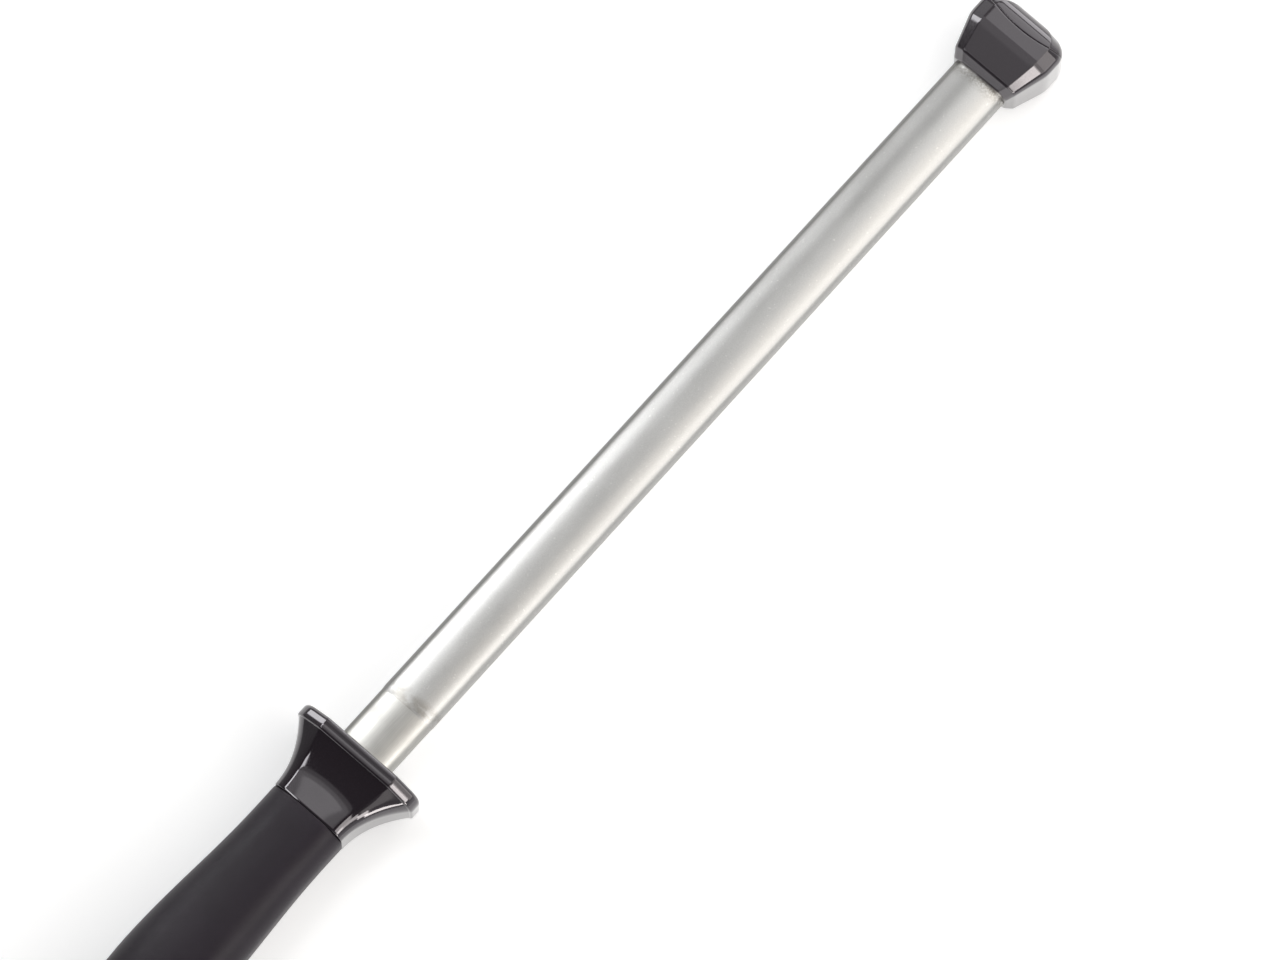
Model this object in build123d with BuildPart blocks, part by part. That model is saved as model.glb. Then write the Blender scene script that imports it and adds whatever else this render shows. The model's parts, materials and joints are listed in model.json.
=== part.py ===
"""Knife sharpening steel: an oval diamond-coated rod between a flared guard and an angle-guide tip.

Frame: +X runs along the rod towards the tip, +Z is up and Z = 0 is the table that the steel lies
on. The origin is on that table, under the middle of the guard's rim. Sizes are millimetres.
"""

import os
from math import asin, cos, pi, radians, sin, sqrt, tan

from build123d import *

os.makedirs("parts", exist_ok=True)

# ---------------------------------------------------------------- driving sizes

# Rod
rod_length = 305.0  # guard's face to the tube's end, inside the tip cap
rod_width = 20.0  # over the coating, along Y
rod_height = 10.0  # over the coating, along Z
coating_thickness = 0.15
bare_band = 19.0  # uncoated length in front of the guard
tube_wall = 1.25

# Guard
guard_width = 46.5
guard_height = 25.0
guard_length = 25.5  # front face to the grip's edge
guard_corner = 10.0
rim_thickness = 4.8
rim_front_round = 1.6
rim_back_round = 1.0
collar_width = 27.0
collar_height = 19.4
collar_corner = 7.6
rod_socket_depth = 18.5  # front face to the rod's seat
web_thickness = 3.0
guard_cavity_side = 4.5  # beyond the rod on the +Y and -Y sides
guard_cavity_top = 3.5  # beyond the rod above and below
guard_cavity_depth = 6.0
guard_cavity_corner = 5.0
plate_spigot_length = 4.0
rod_mouth_chamfer = 0.5
seal_width = 2.0  # radial
seal_thickness = 2.5
flare_sections = 6

# Handle
grip_length = 116.0
grip_neck_width = 27.6
grip_neck_height = 19.8
grip_neck_straight = 7.0
grip_swell_width = 32.4
grip_swell_height = 22.6
grip_swell_at = 63.0  # behind the grip's front edge
grip_waist_width = 28.4
grip_waist_height = 20.4
grip_waist_at = 103.0
grip_butt_width = 30.4
grip_butt_height = 21.6
grip_wall = 2.4
grip_sections = 12
section_roundness = 0.40  # corner radius as a share of the section's height
core_spigot_width = 18.0
core_spigot_height = 11.6
core_spigot_corner = 4.0
core_pocket_length = 13.0
core_pocket_width = 3.0
core_pocket_depth = 3.6
core_pocket_corner = 1.2
core_rib = 4.0
core_bore_wall = 1.4  # between the tang's bore and the pockets
core_peg_radius = 1.2
core_peg_length = 2.6

# Tang
tang_head_length = 28.0
tang_stem_radius = 4.0
tang_thread_radius = 3.0
tang_thread_runout = 0.7  # thread in front of the butt cap's spigot
tang_end_chamfer = 0.6
cross_pin_radius = 1.5
tang_pin_inset = 8.0  # from the rod's seat
cross_pin_chamfer = 0.3
cross_pin_recess = 0.1  # each end below the tube's surface

# Butt
butt_cap_length = 9.0
butt_round = 4.5
butt_spigot_radius = 7.5
butt_spigot_length = 3.0
butt_recess_depth = 4.5
washer_overhang = 1.5  # beyond the nut's flats
washer_thickness = 1.2
lock_washer_radius = 5.6
lock_washer_thickness = 1.6
lock_washer_slit = 1.2
eye_nut_across_flats = 11.0
eye_nut_length = 9.5
eye_nut_thread_depth = 8.0
eye_nut_chamfer = 0.6
eye_wall = 2.75  # round the ring's hole
eye_root = 0.6  # eye's rim sunk into the hexagon's end
eye_thickness = 3.6
eye_hole_round = 0.5
eye_rim_round = 0.8
ring_radius = 12.0  # to the middle of the wire
ring_wire_radius = 1.3

# Tip
tip_cap_cover = 21.0  # length of rod inside the cap
tip_cap_width = 31.4
tip_cap_corner = 5.0
tip_lip_side = 0.5  # beyond the rod on the +Y and -Y sides
tip_lip_top = 1.5  # beyond the rod above and below
tip_lip_corner = 3.6
tip_lip_length = 2.4  # steep face between the rod and the guide faces
tip_flank_length = 11.0
tip_side_angle = 18.0  # guide faces on the +Y and -Y sides
tip_flat_angle = 15.0  # guide faces on the +Z and -Z sides
tip_land_length = 5.0  # level band past the guide faces, on which the cap lies
tip_ridge_round = 6.0
tip_end_width = 16.0  # flat left in the middle of the rounded end
tip_end_height = 14.0
tip_end_corner = 5.0
tip_end_sections = 5
tip_web = 2.4
tip_foot_wall = 1.8
tip_spigot_width = 23.0
tip_spigot_height = 18.0
tip_spigot_corner = 4.4
tip_spigot_round = 1.2
tip_foot_seam_bow = 2.6
tip_plug_length = 18.0
tip_pin_inset = 14.0  # from the tube's end
tip_screw_radius = 2.0
tip_screw_length = 12.0
tip_screw_head_radius = 3.75
tip_screw_head_height = 2.1
tip_screw_socket = 2.5  # across the flats
tip_screw_socket_depth = 1.3

# Clearances
press_gap = 0.02  # around the plugs pressed into the tube
fit_gap = 0.10  # between parts that slide together and are then clamped
stem_gap = 0.20  # round the tang in its bores
washer_gap = 0.40  # round the washer in the butt cap's recess
ring_gap = 0.55  # round the ring's wire in the eye
same_place = 0.01  # edges closer than this to a plane lie on it

# ---------------------------------------------------------------- derived places

axis_height = guard_height / 2  # the rod's axis above the table
face_x = rim_thickness / 2
rim_back_x = face_x - rim_thickness
seat_x = face_x - rod_socket_depth
web_back_x = seat_x - web_thickness
grip_front_x = face_x - guard_length
grip_back_x = grip_front_x - grip_length
butt_x = grip_back_x - butt_cap_length
recess_x = butt_x + butt_recess_depth
lock_washer_x = recess_x - washer_thickness
nut_x = lock_washer_x - lock_washer_thickness
nut_end_x = nut_x - eye_nut_length
eye_hole_radius = ring_wire_radius + ring_gap
eye_radius = eye_hole_radius + eye_wall
eye_x = nut_end_x + eye_root - eye_radius
rod_end_x = face_x + rod_length
cap_x = rod_end_x - tip_cap_cover
lip_x = cap_x + tip_lip_length
ridge_x = lip_x + tip_flank_length
seam_x = ridge_x + tip_land_length
web_end_x = rod_end_x + tip_web
tip_x = web_end_x + tip_foot_wall
tang_end_x = nut_x - eye_nut_thread_depth
thread_start_x = grip_back_x + butt_spigot_length + tang_thread_runout

tube_width = rod_width - 2 * coating_thickness
tube_height = rod_height - 2 * coating_thickness
cross_pin_length = tube_height - 2 * cross_pin_recess
bore_width = tube_width - 2 * tube_wall
bore_height = tube_height - 2 * tube_wall
guard_cavity_width = rod_width + 2 * guard_cavity_side
guard_cavity_height = rod_height + 2 * guard_cavity_top
washer_radius = eye_nut_across_flats / 2 + washer_overhang
tip_lip_width = rod_width + 2 * tip_lip_side
tip_lip_height = rod_height + 2 * tip_lip_top


def across(x):
    """Plane square to the rod's axis at x: local X is +Y, local Y is +Z."""
    return Plane(origin=(x, 0, axis_height), x_dir=(0, 1, 0), z_dir=(1, 0, 0))


def ease(share):
    """Smooth step from 0 to 1 with level ends."""
    return (1 - cos(pi * share)) / 2


def grip_size(depth):
    """Width and height of the grip, depth millimetres behind its front edge."""
    neck = (grip_neck_width, grip_neck_height)
    swell = (grip_swell_width, grip_swell_height)
    waist = (grip_waist_width, grip_waist_height)
    butt = (grip_butt_width, grip_butt_height)
    if depth <= grip_neck_straight:
        return neck
    if depth <= grip_swell_at:
        share = ease((depth - grip_neck_straight) / (grip_swell_at - grip_neck_straight))
        return tuple(a + (b - a) * share for a, b in zip(neck, swell))
    if depth <= grip_waist_at:
        share = ease((depth - grip_swell_at) / (grip_waist_at - grip_swell_at))
        return tuple(a + (b - a) * share for a, b in zip(swell, waist))
    share = ease((depth - grip_waist_at) / (2 * (grip_length - grip_waist_at)))
    return tuple(a + 2 * (b - a) * share for a, b in zip(waist, butt))


def grip_section(depth, inset):
    """Rounded outline of the grip, drawn inset millimetres inside its surface."""
    width, height = grip_size(depth)
    RectangleRounded(width - 2 * inset, height - 2 * inset, section_roundness * height - inset / 2)


def guard_section(share):
    """Outline of the guard's flare; share is 0 at the collar and 1 behind the rim."""
    swell = share**2
    width = collar_width + (guard_width - 2 * rim_back_round - collar_width) * swell
    height = collar_height + (guard_height - 2 * rim_back_round - collar_height) * swell
    corner = collar_corner + (guard_corner - rim_back_round - collar_corner) * swell
    RectangleRounded(width, height, corner)


# ---------------------------------------------------------------- rod

tang_pin_x = seat_x + tang_pin_inset
tip_pin_x = rod_end_x - tip_pin_inset
tang_pin_plane = Plane(origin=(tang_pin_x, 0, axis_height), z_dir=(0, 0, 1))
tip_pin_plane = Plane(origin=(tip_pin_x, 0, axis_height), z_dir=(0, 0, 1))

with BuildPart() as rod_tube:
    with BuildSketch(across(seat_x)):
        Ellipse(tube_width / 2, tube_height / 2)
        Ellipse(bore_width / 2, bore_height / 2, mode=Mode.SUBTRACT)
    extrude(amount=rod_end_x - seat_x)
    with BuildSketch(tang_pin_plane, tip_pin_plane):
        Circle(cross_pin_radius)
    extrude(amount=rod_height, both=True, mode=Mode.SUBTRACT)

with BuildPart() as diamond_coating:
    with BuildSketch(across(face_x + bare_band)):
        Ellipse(rod_width / 2, rod_height / 2)
        Ellipse(tube_width / 2, tube_height / 2, mode=Mode.SUBTRACT)
    extrude(amount=rod_length - bare_band)

# ---------------------------------------------------------------- tang

with BuildPart() as tang:
    with BuildSketch(across(seat_x)):
        Ellipse(bore_width / 2 - press_gap, bore_height / 2 - press_gap)
    extrude(amount=tang_head_length)
    with BuildSketch(across(thread_start_x)):
        Circle(tang_stem_radius)
    extrude(amount=seat_x - thread_start_x)
    with BuildSketch(across(tang_end_x)):
        Circle(tang_thread_radius)
    extrude(amount=thread_start_x - tang_end_x)
    chamfer(faces().sort_by(Axis.X)[0].edges(), tang_end_chamfer)
    chamfer(faces().sort_by(Axis.X)[-1].edges(), tang_end_chamfer)
    with BuildSketch(tang_pin_plane):
        Circle(cross_pin_radius)
    extrude(amount=rod_height, both=True, mode=Mode.SUBTRACT)

with BuildPart(tang_pin_plane) as tang_pin:
    Cylinder(cross_pin_radius, cross_pin_length)
    chamfer(edges(), cross_pin_chamfer)

# ---------------------------------------------------------------- guard

with BuildPart() as guard_plate:
    with BuildSketch(across(rim_back_x)):
        RectangleRounded(guard_width, guard_height, guard_corner)
    extrude(amount=rim_thickness)
    fillet(faces().sort_by(Axis.X)[-1].edges(), rim_front_round)
    fillet(faces().sort_by(Axis.X)[0].edges(), rim_back_round)
    with BuildSketch(across(rim_back_x)):
        RectangleRounded(
            guard_cavity_width - 2 * fit_gap,
            guard_cavity_height - 2 * fit_gap,
            guard_cavity_corner - fit_gap,
        )
    extrude(amount=-plate_spigot_length)
    with BuildSketch(across(rim_back_x - plate_spigot_length)):
        Ellipse(rod_width / 2 + fit_gap, rod_height / 2 + fit_gap)
    extrude(amount=plate_spigot_length + rim_thickness, mode=Mode.SUBTRACT)
    chamfer(faces().sort_by(Axis.X)[-1].inner_wires()[0].edges(), rod_mouth_chamfer)
    with BuildSketch(across(rim_back_x - plate_spigot_length)):
        Ellipse(tube_width / 2 + seal_width, tube_height / 2 + seal_width)
    extrude(amount=seal_thickness, mode=Mode.SUBTRACT)

with BuildPart() as rod_seal:
    with BuildSketch(across(rim_back_x - plate_spigot_length)):
        Ellipse(tube_width / 2 + seal_width, tube_height / 2 + seal_width)
        Ellipse(tube_width / 2, tube_height / 2, mode=Mode.SUBTRACT)
    extrude(amount=seal_thickness)

with BuildPart() as guard_body:
    for step in range(flare_sections):
        share = step / (flare_sections - 1)
        with BuildSketch(across(grip_front_x + share * (rim_back_x - grip_front_x))):
            guard_section(share)
    loft()
    with BuildSketch(across(rim_back_x)):
        RectangleRounded(guard_cavity_width, guard_cavity_height, guard_cavity_corner)
    extrude(amount=-guard_cavity_depth, mode=Mode.SUBTRACT)
    with BuildSketch(across(rim_back_x)):
        Ellipse(tube_width / 2 + fit_gap, tube_height / 2 + fit_gap)
    extrude(amount=seat_x - rim_back_x, mode=Mode.SUBTRACT)
    with BuildSketch(across(seat_x)):
        Circle(tang_stem_radius + stem_gap)
    extrude(amount=-web_thickness, mode=Mode.SUBTRACT)
    with BuildSketch(across(grip_front_x)):
        RectangleRounded(
            core_spigot_width + 2 * fit_gap,
            core_spigot_height + 2 * fit_gap,
            core_spigot_corner + fit_gap,
        )
    extrude(amount=web_back_x - grip_front_x, mode=Mode.SUBTRACT)

# ---------------------------------------------------------------- handle core

grip_stations = [grip_length * step / (grip_sections - 1) for step in range(grip_sections)]
split_plane = Plane(origin=(0, 0, axis_height), z_dir=(0, 0, 1))
pocket_pitch = core_pocket_length + core_rib
pocket_count = int((grip_length - 2 * core_rib - butt_spigot_length) // pocket_pitch)
pocket_row_x = (grip_front_x + grip_back_x + butt_spigot_length) / 2
pocket_row_y = tang_stem_radius + stem_gap + core_bore_wall + core_pocket_width / 2
peg_points = [
    (pocket_row_x + end * pocket_pitch * (pocket_count / 2 - 1), side * pocket_row_y)
    for end in (-1, 1)
    for side in (-1, 1)
]

with BuildPart() as handle_core:
    for depth in grip_stations:
        with BuildSketch(across(grip_front_x - depth)):
            grip_section(depth, grip_wall)
    loft()
    with BuildSketch(across(grip_front_x)):
        RectangleRounded(core_spigot_width, core_spigot_height, core_spigot_corner)
    extrude(amount=web_back_x - grip_front_x)
    with BuildSketch(across(grip_back_x)):
        Circle(tang_stem_radius + stem_gap)
    extrude(amount=web_back_x - grip_back_x, mode=Mode.SUBTRACT)
    with BuildSketch(across(grip_back_x)):
        Circle(butt_spigot_radius + fit_gap)
    extrude(amount=butt_spigot_length, mode=Mode.SUBTRACT)
    with BuildSketch(split_plane):
        for side in (-1, 1):
            with Locations((pocket_row_x, side * pocket_row_y)):
                with GridLocations(pocket_pitch, 0, pocket_count, 1):
                    RectangleRounded(core_pocket_length, core_pocket_width, core_pocket_corner)
    extrude(amount=core_pocket_depth, both=True, mode=Mode.SUBTRACT)

with BuildPart() as handle_core_top:
    add(handle_core.part)
    split(bisect_by=split_plane, keep=Keep.TOP)
    with BuildSketch(split_plane):
        with Locations(peg_points):
            Circle(core_peg_radius + fit_gap)
    extrude(amount=core_peg_length + fit_gap, mode=Mode.SUBTRACT)

with BuildPart() as handle_core_bottom:
    add(handle_core.part)
    split(bisect_by=split_plane, keep=Keep.BOTTOM)
    with BuildSketch(split_plane):
        with Locations(peg_points):
            Circle(core_peg_radius)
    extrude(amount=core_peg_length)

with BuildPart() as grip_sleeve:
    for depth in grip_stations:
        with BuildSketch(across(grip_front_x - depth)):
            grip_section(depth, 0)
    loft()
    for depth in grip_stations:
        with BuildSketch(across(grip_front_x - depth)):
            grip_section(depth, grip_wall)
    loft(mode=Mode.SUBTRACT)

# ---------------------------------------------------------------- butt

with BuildPart() as butt_cap:
    with BuildSketch(across(grip_back_x)):
        RectangleRounded(grip_butt_width, grip_butt_height, section_roundness * grip_butt_height)
    extrude(amount=-butt_cap_length)
    fillet(faces().sort_by(Axis.X)[0].edges(), butt_round)
    with BuildSketch(across(grip_back_x)):
        Circle(butt_spigot_radius)
    extrude(amount=butt_spigot_length)
    with BuildSketch(across(butt_x)):
        Circle(washer_radius + washer_gap)
    extrude(amount=butt_recess_depth, mode=Mode.SUBTRACT)
    with BuildSketch(across(butt_x)):
        Circle(tang_thread_radius + stem_gap)
    extrude(amount=butt_cap_length + butt_spigot_length, mode=Mode.SUBTRACT)

with BuildPart() as butt_washer:
    with BuildSketch(across(recess_x)):
        Circle(washer_radius)
        Circle(tang_thread_radius + stem_gap, mode=Mode.SUBTRACT)
    extrude(amount=-washer_thickness)

with BuildPart() as lock_washer:
    with BuildSketch(across(lock_washer_x)):
        Circle(lock_washer_radius)
        Circle(tang_thread_radius + stem_gap, mode=Mode.SUBTRACT)
        with Locations((0, lock_washer_radius)):
            Rectangle(lock_washer_slit, 2 * lock_washer_radius, mode=Mode.SUBTRACT)
    extrude(amount=-lock_washer_thickness)

eye_plane = Plane(origin=(eye_x, 0, axis_height), x_dir=(1, 0, 0), z_dir=(0, -1, 0))

with BuildPart() as eye_nut:
    with BuildSketch(eye_plane):
        Circle(eye_radius)
    extrude(amount=eye_thickness / 2, both=True)
    fillet(edges().filter_by(GeomType.CIRCLE), eye_rim_round)
    rounded_rim = edges()
    with BuildSketch(eye_plane):
        Circle(eye_hole_radius)
    extrude(amount=eye_thickness, both=True, mode=Mode.SUBTRACT)
    fillet((edges() - rounded_rim).filter_by(GeomType.CIRCLE), eye_hole_round)
    with BuildSketch(across(nut_x)):
        RegularPolygon(eye_nut_across_flats / 2, 6, major_radius=False)
    extrude(amount=-eye_nut_length)
    with BuildSketch(across(nut_x)):
        Circle(tang_thread_radius)
    extrude(amount=-eye_nut_thread_depth, mode=Mode.SUBTRACT)
    chamfer(faces().sort_by(Axis.X)[-1].outer_wire().edges(), eye_nut_chamfer)

# The ring hangs from the eye until its far side touches the table.
droop = asin((axis_height - ring_wire_radius) / (2 * ring_radius))
ring_plane = Plane(
    origin=(eye_x - ring_radius * cos(droop), 0, axis_height - ring_radius * sin(droop)),
    x_dir=(0, 1, 0),
    z_dir=(-sin(droop), 0, cos(droop)),
)

with BuildPart(ring_plane) as hang_ring:
    Torus(ring_radius, ring_wire_radius)

# ---------------------------------------------------------------- tip

lip_end_width = tip_cap_width - 2 * tip_flank_length * tan(radians(tip_side_angle))
lip_end_height = guard_height - 2 * tip_flank_length * tan(radians(tip_flat_angle))
seam_radius = ((tip_cap_width / 2) ** 2 + tip_foot_seam_bow**2) / (2 * tip_foot_seam_bow)
seam_plane = Plane(origin=(seam_x + seam_radius, 0, axis_height), z_dir=(0, 0, 1))


def tip_end_section(share):
    """Outline of the rounded end; share is 0 at the land and 1 at the tip."""
    fall = 1 - sqrt(1 - share**2)
    RectangleRounded(
        tip_cap_width + (tip_end_width - tip_cap_width) * fall,
        guard_height + (tip_end_height - guard_height) * fall,
        tip_cap_corner + (tip_end_corner - tip_cap_corner) * fall,
    )


with BuildPart() as tip_shape:
    with BuildSketch(across(cap_x)):
        RectangleRounded(tip_lip_width, tip_lip_height, tip_lip_corner)
    with BuildSketch(across(lip_x)):
        RectangleRounded(lip_end_width, lip_end_height, tip_lip_corner)
    loft()
    with BuildSketch(across(lip_x)):
        RectangleRounded(lip_end_width, lip_end_height, tip_lip_corner)
    with BuildSketch(across(ridge_x)):
        RectangleRounded(tip_cap_width, guard_height, tip_cap_corner)
    loft()
    with BuildSketch(across(ridge_x)):
        RectangleRounded(tip_cap_width, guard_height, tip_cap_corner)
    extrude(amount=tip_land_length)
    ridge_edges = edges().filter_by_position(Axis.X, ridge_x - same_place, ridge_x + same_place)
    fillet(ridge_edges, tip_ridge_round)
    for step in range(tip_end_sections):
        share = sin(pi / 2 * step / (tip_end_sections - 1))
        with BuildSketch(across(seam_x + share * (tip_x - seam_x))):
            tip_end_section(share)
    loft()

with BuildPart() as tip_cap:
    add(tip_shape.part)
    with BuildSketch(seam_plane):
        Circle(seam_radius)
    extrude(amount=guard_height, both=True, mode=Mode.SUBTRACT)
    with BuildSketch(across(seam_x)):
        RectangleRounded(tip_spigot_width, tip_spigot_height, tip_spigot_corner)
    extrude(amount=web_end_x - seam_x)
    fillet(faces().sort_by(Axis.X)[-1].edges(), tip_spigot_round)
    with BuildSketch(across(cap_x)):
        Ellipse(rod_width / 2 + fit_gap, rod_height / 2 + fit_gap)
    extrude(amount=rod_end_x - cap_x, mode=Mode.SUBTRACT)
    with BuildSketch(across(rod_end_x)):
        Circle(tip_screw_radius)
    extrude(amount=tip_web, mode=Mode.SUBTRACT)
    with BuildSketch(across(web_end_x - tip_screw_head_height)):
        Circle(tip_screw_radius)
    with BuildSketch(across(web_end_x)):
        Circle(tip_screw_head_radius)
    loft(mode=Mode.SUBTRACT)

with BuildPart() as tip_foot:
    add(tip_shape.part)
    with BuildSketch(seam_plane):
        Circle(seam_radius)
    extrude(amount=guard_height, both=True, mode=Mode.INTERSECT)
    with BuildSketch(across(seam_x)):
        RectangleRounded(tip_spigot_width, tip_spigot_height, tip_spigot_corner)
    extrude(amount=web_end_x - seam_x, mode=Mode.SUBTRACT)

with BuildPart() as tip_screw:
    with BuildSketch(across(web_end_x - tip_screw_head_height)):
        Circle(tip_screw_radius)
    with BuildSketch(across(web_end_x)):
        Circle(tip_screw_head_radius)
    loft()
    with BuildSketch(across(web_end_x - tip_screw_head_height)):
        Circle(tip_screw_radius)
    extrude(amount=tip_screw_head_height - tip_screw_length)
    with BuildSketch(across(web_end_x)):
        RegularPolygon(tip_screw_socket / 2, 6, major_radius=False)
    extrude(amount=-tip_screw_socket_depth, mode=Mode.SUBTRACT)

with BuildPart() as tip_plug:
    with BuildSketch(across(rod_end_x)):
        Ellipse(bore_width / 2 - press_gap, bore_height / 2 - press_gap)
    extrude(amount=-tip_plug_length)
    with BuildSketch(across(rod_end_x)):
        Circle(tip_screw_radius)
    extrude(amount=tip_web - tip_screw_length, mode=Mode.SUBTRACT)
    with BuildSketch(tip_pin_plane):
        Circle(cross_pin_radius)
    extrude(amount=rod_height, both=True, mode=Mode.SUBTRACT)

with BuildPart(tip_pin_plane) as tip_pin:
    Cylinder(cross_pin_radius, cross_pin_length)
    chamfer(edges(), cross_pin_chamfer)

# ---------------------------------------------------------------- files

pieces = {
    "rod_tube": rod_tube,
    "diamond_coating": diamond_coating,
    "tang": tang,
    "tang_pin": tang_pin,
    "guard_plate": guard_plate,
    "rod_seal": rod_seal,
    "guard_body": guard_body,
    "handle_core_top": handle_core_top,
    "handle_core_bottom": handle_core_bottom,
    "grip_sleeve": grip_sleeve,
    "butt_cap": butt_cap,
    "butt_washer": butt_washer,
    "lock_washer": lock_washer,
    "eye_nut": eye_nut,
    "hang_ring": hang_ring,
    "tip_plug": tip_plug,
    "tip_pin": tip_pin,
    "tip_cap": tip_cap,
    "tip_screw": tip_screw,
    "tip_foot": tip_foot,
}
for name, piece in pieces.items():
    piece.part.label = name
    export_step(piece.part, f"parts/{name}.step")
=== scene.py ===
"""Looks of the knife sharpening steel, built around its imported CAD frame.

Every piece made here is a loft through rings of equally many points, in millimetres in the frame
of the CAD: +X along the rod towards the tip, +Z up, Z = 0 the surface that the steel lies on.
"""

import json
from math import cos, pi, radians, sin, sqrt, tan

import bpy
from mathutils import Matrix, Vector


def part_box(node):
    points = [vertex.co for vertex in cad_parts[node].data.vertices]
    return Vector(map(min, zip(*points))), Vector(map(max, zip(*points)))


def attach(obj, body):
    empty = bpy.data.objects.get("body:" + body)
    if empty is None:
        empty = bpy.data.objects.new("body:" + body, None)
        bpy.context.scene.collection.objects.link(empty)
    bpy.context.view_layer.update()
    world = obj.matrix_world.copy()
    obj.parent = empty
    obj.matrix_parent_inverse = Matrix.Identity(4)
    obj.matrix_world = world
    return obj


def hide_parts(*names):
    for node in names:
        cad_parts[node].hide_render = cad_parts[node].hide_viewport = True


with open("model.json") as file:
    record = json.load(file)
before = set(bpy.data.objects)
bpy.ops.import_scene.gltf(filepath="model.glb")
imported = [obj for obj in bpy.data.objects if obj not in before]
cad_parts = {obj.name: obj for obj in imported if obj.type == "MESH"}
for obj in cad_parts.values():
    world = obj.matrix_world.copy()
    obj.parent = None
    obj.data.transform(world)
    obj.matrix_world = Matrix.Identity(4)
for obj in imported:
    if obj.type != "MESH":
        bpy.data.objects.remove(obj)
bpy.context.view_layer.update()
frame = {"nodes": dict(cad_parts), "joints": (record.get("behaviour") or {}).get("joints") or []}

MM = 0.001  # metres in a millimetre

# ---------------------------------------------------------------- sizes in millimetres, and shares

# Outlines
corner_power = 2.35  # 2 is a round corner, more is squarer
corner_reach = 1.10  # a squarer corner starts earlier than a round one
side_points = 6
corner_points = 14
top_points = 9
ring_points = 4 * (side_points + corner_points + top_points)
least_corner = 0.2

# Bevelled outlines; flat, outer and inner are shares of the corner's size
bevel_slope = radians(30.0)
bevel_flat = 0.70
bevel_outer = 0.565
bevel_inner = 0.174
bevel_hold = 0.06  # points this near the bevel's ends keep it flat when it is shaded
bowed_hold = 1 / 3  # the same for a fully bowed bevel, whose points spread evenly
outer_steps = 7  # with inner_steps and the bevel's three points, as many as corner_points
inner_steps = 4
least_bow = 0.001  # keeps the radius of a flat bevel finite
collar_bow = radians(9.0)  # by which the collar's bevel turns on each side of its slope

# Guard
guard_corner = 10.0
rim_front_round = 1.6
rim_back_round = 0.8
collar_width = 27.0
collar_height = 19.4
collar_corner = 5.8
collar_bevel_flat = 0.25
collar_edge = 0.25
collar_flat = 0.34  # share of the flare over which its top stays level
collar_crown = 0.09  # share by which the collar's level faces sink towards its sides
flare_stations = 36
cavity_size = (29.0, 17.0, 5.0)  # width, height, corner
cavity_depth = 6.0
core_spigot_size = (18.2, 11.8, 4.1)
web_thickness = 3.0
tang_play = 1.0  # by which the radius of the web's hole for the tang exceeds the butt's
seal_width = 2.0
seal_thickness = 2.5
rod_mouth_chamfer = 0.5

# Handle
grip_neck = (27.6, 19.8)  # width, height
grip_swell = (32.4, 22.6)
grip_waist = (28.4, 20.4)
grip_butt = (30.4, 21.6)
grip_neck_straight = 7.0
grip_swell_at = 63.0
grip_waist_at = 103.0
grip_wall = 2.4
grip_edge = 0.45
roundness = 0.40  # corner as a share of the grip's height
grip_crown = 0.20  # as collar_crown, for the rest of the handle
crown_length = 30.0  # over which the crown grows from the collar's to the grip's
grip_stations = 80

# Butt
butt_round = 4.5
butt_edge = 0.3
butt_bore = 3.2
butt_spigot = 7.5
recess_depth = 4.5
recess_radius = 7.4
wire_radius = 1.3
wire_gap = 0.25  # butt joint of the bent wire ring
wire_end_round = 0.2  # as a share of the wire's radius
wire_points = 24
ring_steps = 120

# Tip
tip_width = 31.4
tip_corner = 5.0
lip_size = (21.0, 13.0, 3.4)
lip_length = 2.4
lip_edge = 0.5
lip_edge_round = 0.6  # as a share of lip_edge
flank_length = 11.0
side_angle = radians(18.0)
flat_angle = radians(15.0)
ridge_reach = 1.6  # length over which the ridge is rounded
tip_end_size = (16.0, 14.0, 5.0)
tip_end_inset = 3.0  # of the last ring on the foot's end
spigot_size = (23.0, 18.0, 4.4)
seam_bow = 2.6
seam_groove = 0.38
screw_radius = 2.0
screw_head_radius = 3.75
screw_head_height = 2.1
lip_steps = 6
flank_steps = 12
ridge_steps = 8
land_steps = 10
foot_steps = 22
seam_passes = 6

# Rod
tube_wall = 1.25
rod_stations = 40
coat_feather = 1.4  # length over which the plate's edge thins out
streak_length = 5.6  # darker, streaky start of the plate
streak_even = 0.6  # share of the streaky start before it fades
tip_band_length = 4.0  # darker lumpy band of the plate in front of the tip cap
# Painted shade on the rod's narrow edges, deeper on its +Y side: side, start and end as shares of
# its half width, tone
painted_edge_shade_bands = ((1, 0.785, 0.875, 0.34), (-1, 0.83, 0.92, 0.64))

fit_gap = 0.1  # play between pieces that fit into each other
sharp_angle = radians(38.0)  # steeper edges than this are shaded as creases


# ---------------------------------------------------------------- places, from the frame


def span(node):
    """Lowest and highest corner of a CAD node, in millimetres."""
    low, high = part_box(node)
    return low / MM, high / MM


plate_low, plate_high = span("guard_plate")
flare_low, flare_high = span("guard_body")
grip_low, grip_high = span("grip_sleeve")
tube_low, tube_high = span("rod_tube")
coat_low, coat_high = span("diamond_coating")
butt_low, butt_high = span("butt_cap")
cap_low, cap_high = span("tip_cap")
foot_low, foot_high = span("tip_foot")
ring_low, ring_high = span("hang_ring")

guard_size = (2 * plate_high.y, plate_high.z, guard_corner)
axis_z = plate_high.z / 2
tube_half = (tube_high.y, tube_high.z - axis_z)
rod_half = (coat_high.y, coat_high.z - axis_z)
ridge_x = cap_low.x + lip_length + flank_length
seam_x = foot_low.x
web_end_x = cap_high.x
hinge = Vector(frame["joints"][0]["pos_m"]) / MM

# ---------------------------------------------------------------- rings


def mirrored(quarter):
    """Whole outline from its first quarter, whose last point is on the Z axis."""
    left = [(-y, z) for y, z in reversed(quarter)]
    upper = quarter[:-1] + left[:-1]
    return upper + [(-y, -z) for y, z in upper]


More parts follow.
